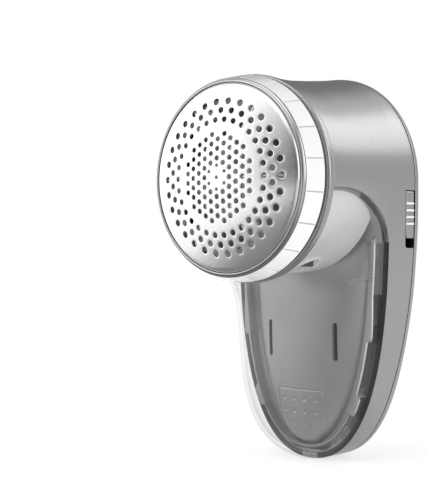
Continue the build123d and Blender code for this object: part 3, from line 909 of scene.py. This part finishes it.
def net_surface(field, low, high, step):
    """Surface net of field = 0 on a regular grid, each point then moved onto the surface."""
    axes = [np.arange(a, b + step, step) for a, b in zip(low, high)]
    gx, gy, gz = np.meshgrid(*axes, indexing="ij")
    value = field(gx, gy, gz)
    inside = value > 0
    shape = np.array(value.shape) - 1
    total = np.zeros((*shape, 3))
    count = np.zeros(shape)
    corners = [(i, j, k) for i in (0, 1) for j in (0, 1) for k in (0, 1)]
    for c in corners:
        for axis in range(3):
            if c[axis]:
                continue
            d = tuple(c[n] + (n == axis) for n in range(3))
            cut = tuple(slice(c[n], c[n] + shape[n]) for n in range(3))
            nxt = tuple(slice(d[n], d[n] + shape[n]) for n in range(3))
            v0, v1 = value[cut], value[nxt]
            cross = inside[cut] != inside[nxt]
            t = np.where(cross, v0 / np.where(cross, v0 - v1, 1.0), 0.0)
            for n in range(3):
                total[..., n] += np.where(cross, c[n] + (t if n == axis else 0.0), 0.0)
            count += cross
    active = count > 0
    ids = -np.ones(shape, int)
    ids[active] = np.arange(active.sum())
    where = np.argwhere(active)
    points = (where + total[active] / count[active][:, None]) * step + np.array(low)
    for _ in range(3):
        f0, grad = gradient(field, points)
        size = np.sum(grad * grad, 1)
        move = -(f0 / np.maximum(size, 0.05))[:, None] * grad
        reach = np.linalg.norm(move, axis=1)
        points = points + move * np.minimum(1.0, 0.5 * step / np.maximum(reach, 1e-9))[:, None]
    faces = []
    for axis in range(3):
        b, c = [(1, 2), (2, 0), (0, 1)][axis]
        size = np.array(value.shape)
        size[axis] -= 1
        lo = [1 if n != axis else 0 for n in range(3)]
        hi = [size[n] - 1 if n != axis else size[n] for n in range(3)]
        sel = tuple(slice(lo[n], hi[n]) for n in range(3))
        nxt = tuple(slice(lo[n] + (n == axis), hi[n] + (n == axis)) for n in range(3))
        cross = inside[sel] != inside[nxt]
        at = np.argwhere(cross) + np.array(lo)
        first = inside[tuple(at.T)]
        quad = []
        for db, dc in ((0, 0), (1, 0), (1, 1), (0, 1)):
            cell = at.copy()
            cell[:, b] -= db
            cell[:, c] -= dc
            quad.append(ids[tuple(cell.T)])
        quad = np.stack(quad, 1)
        ok = (quad >= 0).all(1)
        quad, first = quad[ok], first[ok]
        quad[~first] = quad[~first][:, ::-1]
        faces += [tuple(int(v) for v in f) for f in quad]
    return points, faces


def clip(points, faces, keep):
    """Trim a mesh to keep(points) >= 0, cutting the faces that cross."""
    points = [np.array(p, float) for p in points]
    value = list(keep(np.array(points)))
    made, out = {}, []
    for face in faces:
        if all(value[i] >= 0 for i in face):
            out.append(face)
            continue
        if all(value[i] < 0 for i in face):
            continue
        ring = []
        for i, j in sides(face):
            if value[i] >= 0:
                ring.append(i)
            if (value[i] >= 0) != (value[j] >= 0):
                key = (min(i, j), max(i, j))
                if key not in made:
                    a, b = key
                    t = value[a] / (value[a] - value[b])
                    points.append(points[a] + (points[b] - points[a]) * t)
                    value.append(0.0)
                    made[key] = len(points) - 1
                ring.append(made[key])
        if len(ring) > 2:
            out.append(tuple(ring))
    used = sorted({i for f in out for i in f})
    index = {old: new for new, old in enumerate(used)}
    return [points[i] for i in used], [tuple(index[i] for i in f) for f in out]


def arc_top(y, gap):
    """Height of the lint box's upper edge over an array of depths."""
    f = np.clip((y - ARC_Y) / (ARC_RY + gap), 0.0, 1.0)
    return ARC_Z + (ARC_RZ + gap) * np.sqrt(np.maximum(1 - f * f, 0.0))


def shell_from(points, faces, field, wall):
    """Closed wall: the skin, a copy moved inwards along the field, and strips between."""
    outer = np.array(points, float)
    n = len(outer)
    grad = unit(gradient(field, outer)[1])
    directed = list(dict.fromkeys(pair for face in faces for pair in sides(face)))
    near = [[] for _ in outer]
    for face in faces:
        for i, j in sides(face):
            near[i].append(j)
            near[j].append(i)
    for _ in range(6):
        grad = unit(np.array([grad[i] + sum((grad[j] for j in near[i]), np.zeros(3))
                              / len(near[i]) for i in range(n)]))
    known = set(directed)
    strips = [(j, i, i + n, j + n) for i, j in directed if (j, i) not in known]
    back = [tuple(i + n for i in face[::-1]) for face in faces]
    return np.concatenate([outer, outer + grad * wall]), list(faces) + back + strips


BOX_STEP = 0.6
box_points, box_faces = net_surface(box_field, (-38.0, 16.0, -104.0), (38.0, 52.2, -1.0),
                                    BOX_STEP)
for inside_of in (lambda p: p[:, 1] - (SLEEVE_FRONT + 0.15),
                  lambda p: PARTING - 0.3 - p[:, 1],
                  lambda p: arc_top(p[:, 1], -0.3) - p[:, 2]):
    box_points, box_faces = clip(box_points, box_faces, inside_of)
box = solid("lint_box_clear", *shell_from(box_points, box_faces, box_field, BOX_WALL), 45.0)
finish_piece(box, "clear_plastic", "lint_container", "lint_box")

# ---- foil head
DOME_R = 118.0
FOIL_R = 32.3
HOLE_RINGS = ((26.0, 1.2, 0.0), (22.88, 1.1, 6.0), (19.69, 1.0, 0.0))
PITCH = 3.256  # spacing of the hexagonal middle


def dome_y(r):
    """Depth of the foil's front at radius r."""
    return DOME_R - math.sqrt(DOME_R ** 2 - r * r)


def foil_holes():
    """(x, z, radius) of every hole."""
    holes = []
    for radius, hole_r, phase in HOLE_RINGS:
        for k in range(30):
            a = math.radians(phase + 12 * k)
            holes.append((radius * math.cos(a), radius * math.sin(a), hole_r))
    corners = [math.radians(90 + 60 * k) for k in range(7)]
    for ring_no in range(2, 6):
        reach = ring_no * PITCH
        for a0, a1 in zip(corners, corners[1:]):
            for step in range(1 if ring_no == 5 else 0, ring_no):
                f = step / ring_no
                holes.append((reach * ((1 - f) * math.cos(a0) + f * math.cos(a1)),
                              reach * ((1 - f) * math.sin(a0) + f * math.sin(a1)), 0.9))
    for a in corners[:6]:
        holes.append((1.24 * PITCH * math.cos(a), 1.24 * PITCH * math.sin(a), 0.6))
    holes.append((0.0, 0.0, 0.6))
    return holes


def foil_mesh():
    """Perforated dome with softly pressed hole edges."""
    holes = foil_holes()
    coords, edges, press = [], [], []

    def ring_of(cx, cz, r, n, sink):
        start = len(coords)
        for k in range(n):
            a = 2 * math.pi * (k + 0.5) / n
            coords.append(Vector((cx + r * math.cos(a), cz + r * math.sin(a))))
            press.append(sink)
        for k in range(n):
            edges.append((start + k, start + (k + 1) % n))

    for inset, sink in ((0.0, 0.75), (0.25, 0.25), (0.7, 0.0)):
        ring_of(0, 0, FOIL_R - inset, 240, sink)
    for cx, cz, r in holes:
        n = 28 if r > 0.8 else 20
        for wider, sink in ((0.0, 0.07), (0.10, 0.02), (0.26, 0.0)):
            ring_of(cx, cz, r + wider, n, sink)
    step = 0.9
    for i in range(-40, 41):
        for j in range(-40, 41):
            x = step * (i + 0.5 * (j % 2))
            z = step * j * 0.866
            if math.hypot(x, z) > 31.1:
                continue
            if all(math.hypot(x - cx, z - cz) > r + 0.6 for cx, cz, r in holes):
                coords.append(Vector((x, z)))
                press.append(0.0)
    out_co, _, out_faces, orig, _, _ = delaunay_2d_cdt(coords, edges, [], 0, 1e-6)
    sinks = [max((press[s] for s in source), default=0.0) for source in orig]
    points = [(c.x, dome_y(c.length) + s, c.y) for c, s in zip(out_co, sinks)]
    hx, hz, hr = np.array(holes).T
    faces = []
    for f in out_faces:
        cx = sum(out_co[i].x for i in f) / len(f)
        cz = sum(out_co[i].y for i in f) / len(f)
        in_hole = np.any((cx - hx) ** 2 + (cz - hz) ** 2 < (hr * 0.985) ** 2)
        if not in_hole and math.hypot(cx, cz) <= FOIL_R:
            faces.append(tuple(f))
    return points, faces


def foil_paint(x, y, z, normal):
    """Painted shade: dark joint at the foil's edge."""
    return "gap_dark" if math.hypot(x, z) > 32.1 else None


def collar_paint(x, y, z, normal):
    """Painted shade: dark joint beside the foil and a dark groove."""
    reach = math.hypot(x, z)
    return "gap_dark" if reach < 32.6 or 33.27 < reach < 33.43 else None


foil = build("foil_screen", *foil_mesh())
turn_faces(foil, lambda normal: normal.y > 0)
use(foil, solidify(0.35))
shade(foil, 50.0)
finish_piece(foil, "foil_steel", "shaving_head", "foil", pick=foil_paint)
skirt_profile = [(FOIL_R, 4.9), (FOIL_R, 9.2), (31.95, 9.2), (31.95, 4.9)]
finish_piece(solid("foil_skirt", *turned(rounded(skirt_profile, 0.08, 2), 180)), "foil_steel",
             "shaving_head")

COLLAR = [(32.45, 5.15), (32.62, 4.72), (32.95, 4.62), (33.28, 4.86), (33.42, 4.82),
          (33.95, 5.30), (34.05, 5.5), (33.3, 6.6), (33.3, 9.2), (32.4, 9.2)]
collar = solid("collar_band", *turned(rounded(COLLAR, 0.07, 2), 240), 45.0)
finish_piece(collar, "collar_metal", "shaving_head", "foil_collar", pick=collar_paint)

NOTCHES = 20
NOTCH_TURN = 360 / NOTCHES
FIRST_NOTCH = 9.0
HALF_STEPS = (0.1, 0.3, 0.5, 0.72, 1.0, 1.35, 2.0, 3.2, 5.0, 7.0)
NOTCH_STEPS = (-9.0, *[-d for d in HALF_STEPS[::-1]], *HALF_STEPS)  # degrees from a notch
GRIP = [
    (34.15, 5.65), (34.75, 8.4), (35.7, 12.9), (35.8, 13.35), (35.8, 14.3), (31.1, 14.3),
    (31.1, 18.0), (29.6, 18.0), (29.6, 9.3), (33.4, 9.3), (33.4, 6.7),
]
GRIP_ROUND = [0.25, 0.5, 0.3, 0.1, 0.18, 0.05, 0.2, 0.2, 0.1, 0.05, 0.1]


def dense_grip_profile():
    """The ring's section with extra points along its outer face."""
    profile = rounded(GRIP, GRIP_ROUND, 3)
    dense = []
    for p, q in zip(profile, profile[1:] + profile[:1]):
        dense.append(p)
        length = math.hypot(q[0] - p[0], q[1] - p[1])
        if p[0] > 34.0 and q[0] > 34.0 and length > 0.8 and p[1] < 13.0:
            count = int(length / 0.4)
            for t in (k / count for k in range(1, count)):
                dense.append((p[0] + (q[0] - p[0]) * t, p[1] + (q[1] - p[1]) * t))
    return dense


def grip_ring_mesh():
    """Grip ring with shallow cross notches, its angles finer at each notch."""
    dense = dense_grip_profile()
    points = []
    for k in range(NOTCHES):
        for offset in NOTCH_STEPS:
            a = math.radians(FIRST_NOTCH + NOTCH_TURN * k + offset)
            arc = abs(math.radians(offset)) * 35.0
            depth = 0.34 * (1 - ease((arc - 0.12) / 0.26))
            for r, y in dense:
                if r > 34.0 and 5.9 < y < 13.2:
                    r = r - depth * ease((y - 6.0) / 0.5) * ease((13.0 - y) / 0.4)
                points.append((r * math.cos(a), y, r * math.sin(a)))
    return points, loop_faces(NOTCHES * len(NOTCH_STEPS), len(dense))


def grip_paint(x, y, z, normal):
    """Painted shade: dark back edge by the flange and grey notches."""
    if y > 13.28:
        return "ring_edge"
    turn = math.degrees(math.atan2(z, x)) - FIRST_NOTCH
    off = abs((turn + NOTCH_TURN / 2) % NOTCH_TURN - NOTCH_TURN / 2)
    in_notch = off < 0.34 and math.hypot(x, z) > 33.8 and 6.1 < y < 12.9
    return "ring_line" if in_notch else None


grip = solid("grip_ring_shell", *grip_ring_mesh(), 60.0)
finish_piece(grip, "ring_white", "shaving_head", "grip_ring", pick=grip_paint,
             more=("ring_edge", "ring_line"))

# ---- slide switch
SWITCH_TOP, SWITCH_LOW = -3.7, -20.6
SWITCH_FRONT, SWITCH_BACK = 62.3, 67.4
SWITCH_CORNER = 1.5
RIDGES = (-8.1, -10.6, -13.0, -15.4)
RIDGE_SECTION = ((-0.42, -0.15), (-0.38, 0.12), (-0.22, 0.3), (0.0, 0.36), (0.22, 0.3),
                 (0.38, 0.12), (0.42, -0.15))


def handle_x(y, z):
    """Half width of the handle's skin at depth y and height z."""
    return half_width(z) + (smooth_table(HALF_AT, y) - HALF)


def thumb_mesh():
    """Curved face of the slide switch with rounded edges."""
    deep = SWITCH_BACK - SWITCH_FRONT
    rows = []
    for k in range(60):
        row = []
        for y in [SWITCH_FRONT + deep * (j / 19) ** 1.3 for j in range(20)]:
            inside = max(SWITCH_CORNER - (y - SWITCH_FRONT), 0.0)
            low = SWITCH_LOW + SWITCH_CORNER - math.sqrt(SWITCH_CORNER ** 2 - inside ** 2)
            z = low + (SWITCH_TOP - low) * k / 59
            edge = min(z - low, SWITCH_TOP - z, y - SWITCH_FRONT, SWITCH_BACK - y)
            drop = 0.35 * (1 - math.sqrt(max(1 - max(1 - edge / 0.5, 0.0) ** 2, 0.0)))
            row.append((handle_x(y, z) + 0.02 - drop, y, z))
        rows.append(row)
    return skin(rows)


def ridge_mesh(height):
    """One rounded ridge across the switch."""
    rows = []
    for dz, lift in RIDGE_SECTION:
        ys = np.linspace(62.2, 67.3, 12)
        ends = [0.3] + [0.0] * 10 + [0.3]
        rows.append([(handle_x(y, height) + lift - end, y, height + dz)
                     for y, end in zip(ys, ends)])
    return skin(rows)


def thumb_paint(x, y, z, normal):
    """Painted shade: dark front and lower sides."""
    return "gap_dark" if normal.y < -0.75 or normal.z < -0.9 else None


thumb = build("switch_cap", *thumb_mesh())
turn_faces(thumb, lambda normal: normal.x < 0)
use(thumb, solidify(2.0))
shade(thumb, 50.0)
finish_piece(thumb, "housing_grey", "slide_switch", "switch_thumb", pick=thumb_paint)
stem = prism("switch_stem", [(63.4, -14.4), (63.4, -9.8), (66.4, -9.8), (66.4, -14.4)], "X",
             29.8, 33.4)
use(stem, bevel(0.2, 2))
finish_piece(stem, "dark_plastic", "slide_switch")
ridges = join("switch_ridges", *map(ridge_mesh, RIDGES))
turn_faces(ridges, lambda normal: normal.x < 0)
finish_piece(ridges, "ring_white", "slide_switch")

# ---- stage, light and camera
scene = bpy.context.scene
scene.view_settings.view_transform = "Standard"

FLOOR = 6.0  # half the floor's side, in metres
FLOOR_DARK = 0.04
FLOOR_POOLS = (("X", -0.10, -0.28, 0.95), ("X", 0.06, 0.20, 0.58), ("Y", -0.04, 0.06, 0.58))
WHITE = (1.0, 1.0, 1.0, 1.0)


def make_floor():
    """White floor; in sharp reflections it is dark before the foil and brighter round that."""
    mesh = bpy.data.meshes.new("floor")
    mesh.from_pydata([(-FLOOR, -FLOOR, 0), (FLOOR, -FLOOR, 0), (FLOOR, FLOOR, 0),
                      (-FLOOR, FLOOR, 0)], [], [(0, 1, 2, 3)])
    obj = bpy.data.objects.new("floor", mesh)
    scene.collection.objects.link(obj)
    mat = material("floor", (0.55, 0.55, 0.55), 0.0, 0.8, 0.01, 8.0, rough_spread=0.0)
    mesh.materials.append(mat)
    tree = mat.node_tree
    white = tree.nodes["Principled BSDF"]
    white.inputs["Specular IOR Level"].default_value = 0.0
    white.inputs["Emission Color"].default_value = WHITE
    white.inputs["Emission Strength"].default_value = 0.62
    axes = axis_sockets(tree)
    pool = None
    for axis, start, stop, value in FLOOR_POOLS:
        level = map_range(tree, axes[axis], start, stop, FLOOR_DARK, value)
        pool = calculate(tree, "MAXIMUM", pool, level) if pool else level
    glow = add_node(tree, "Emission", {"Strength": pool})
    dull = add_node(tree, "BsdfDiffuse", {"Color": (0.20, 0.20, 0.20, 1.0)})
    both = add_node(tree, "AddShader", {0: glow.outputs["Emission"], 1: dull.outputs["BSDF"]})
    rays = add_node(tree, "LightPath", {})
    choose = add_node(tree, "MixShader", {"Fac": rays.outputs["Is Glossy Ray"],
                                          1: white.outputs["BSDF"],
                                          2: both.outputs["Shader"]})
    tree.links.new(choose.outputs["Shader"], tree.nodes["Material Output"].inputs["Surface"])


# Surroundings: an even level with soft patches, each (direction, cosine of the rim, cosine of
# the even middle, strength). The camera sees plain white.
EVEN_LIGHT = 0.40
PATCHES = (
    ((-0.92, -0.38, 0.12), 0.55, 0.93, 0.98),
    ((0.37, 0.74, 0.56), 0.945, 0.985, 1.35),
    ((0.10, 0.74, 0.66), 0.94, 0.985, 0.40),
    ((-0.55, 0.74, 0.38), 0.93, 0.98, -0.22),
    ((0.68, 0.74, -0.05), 0.60, 0.96, 0.20),
    ((0.95, -0.25, 0.20), 0.75, 0.95, 1.6),
    ((-0.10, -0.55, 0.83), 0.80, 0.97, 1.2),
    ((0.05, -1.00, -0.05), 0.88, 0.975, -0.30),
)


def studio():
    """World with the light of the surroundings."""
    world_data = bpy.data.worlds.new("studio")
    scene.world = world_data
    world_data.use_nodes = True
    sky = world_data.node_tree
    where = add_node(sky, "TexCoord", {})
    total = EVEN_LIGHT
    for direction, rim, middle, strength in PATCHES:
        aim = {0: where.outputs["Generated"], 1: Vector(direction).normalized()}
        dot = add_node(sky, "VectorMath", aim, operation="DOT_PRODUCT")
        patch = map_range(sky, dot.outputs["Value"], rim, middle, 0.0, strength,
                          interpolation_type="SMOOTHSTEP")
        total = calculate(sky, "ADD", total, patch)
    lit = sky.nodes["Background"]
    lit.inputs["Color"].default_value = WHITE
    sky.links.new(total, lit.inputs["Strength"])
    plain = add_node(sky, "Background", {"Color": WHITE, "Strength": 1.0})
    path = add_node(sky, "LightPath", {})
    pick = add_node(sky, "MixShader", {"Fac": path.outputs["Is Camera Ray"],
                                       1: lit.outputs["Background"],
                                       2: plain.outputs["Background"]})
    sky.links.new(pick.outputs["Shader"], sky.nodes["World Output"].inputs["Surface"])


make_floor()
studio()

FOCAL = 84.31  # millimetres on a 36 mm sensor
CAMERA_AT = (0.26715, -0.29176, -0.02040)  # from the foil's front on the head axis
LOOK = (-0.67706, 0.73586, -0.01046)
cam_data = bpy.data.cameras.new("camera")
cam_data.sensor_width = 36.0
cam_data.lens = FOCAL
cam_data.clip_start = 0.01
camera = bpy.data.objects.new("camera", cam_data)
scene.collection.objects.link(camera)
camera.location = Vector(CAMERA_AT) + Vector((0.0, FRONT, AXIS_Z))
camera.rotation_euler = Vector(LOOK).to_track_quat("-Z", "Y").to_euler()
scene.camera = camera
